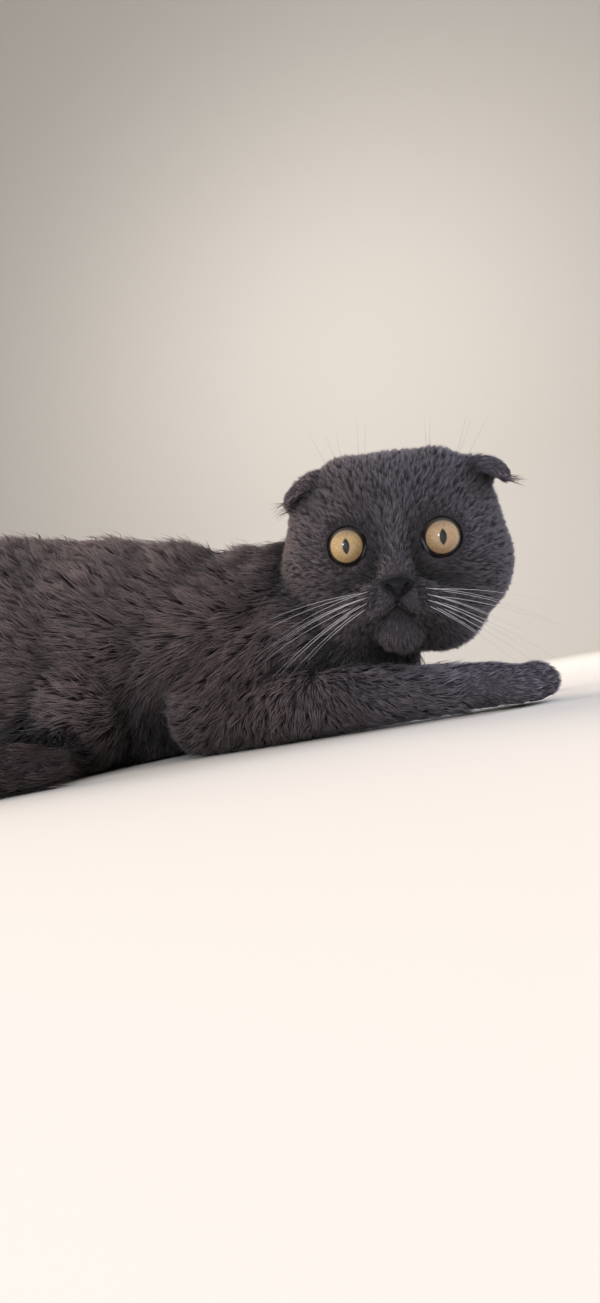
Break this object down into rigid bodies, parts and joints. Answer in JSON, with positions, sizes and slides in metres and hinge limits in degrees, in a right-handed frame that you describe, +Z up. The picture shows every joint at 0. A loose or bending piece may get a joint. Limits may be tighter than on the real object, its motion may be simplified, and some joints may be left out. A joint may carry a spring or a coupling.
{
  "type": "scottish fold cat",
  "caption": "Life-size still model of a short-haired cat with folded ears, lying on its chest with one foreleg stretched forward and its head turned to its right.",
  "frame": {"origin": "on the floor, below the middle of the box round the whole cat", "axes": "+X from the rump towards the chest and the forepaws, +Y towards the cat's own left side, +Z up"},
  "size_m": [0.455, 0.2162, 0.1658],
  "materials": {
    "coat": "dense short plush fur, blue-grey, darker at the roots",
    "eye": "wet gloss, pale copper iris with an upright dark pupil",
    "nose_leather": "bare, finely pebbled, slightly moist, slate"
  },
  "bodies": {
    "root": {"head": "coat", "nose": "nose_leather", "eye_right": "eye", "eye_left": "eye", "ear_right": "coat", "ear_left": "coat", "upper_arm_right": "coat", "upper_arm_left": "coat", "forearm_right": "coat", "forearm_left": "coat", "forepaw_right": "coat", "forepaw_left": "coat", "thigh_right": "coat", "thigh_left": "coat", "hind_foot_right": "coat", "hind_foot_left": "coat", "neck": "coat", "torso": "coat", "tail_base": "coat", "tail_bend_back": "coat", "tail_bend_side": "coat", "tail_end": "coat", "tail_tip": "coat"}
  },
  "joints": []
}
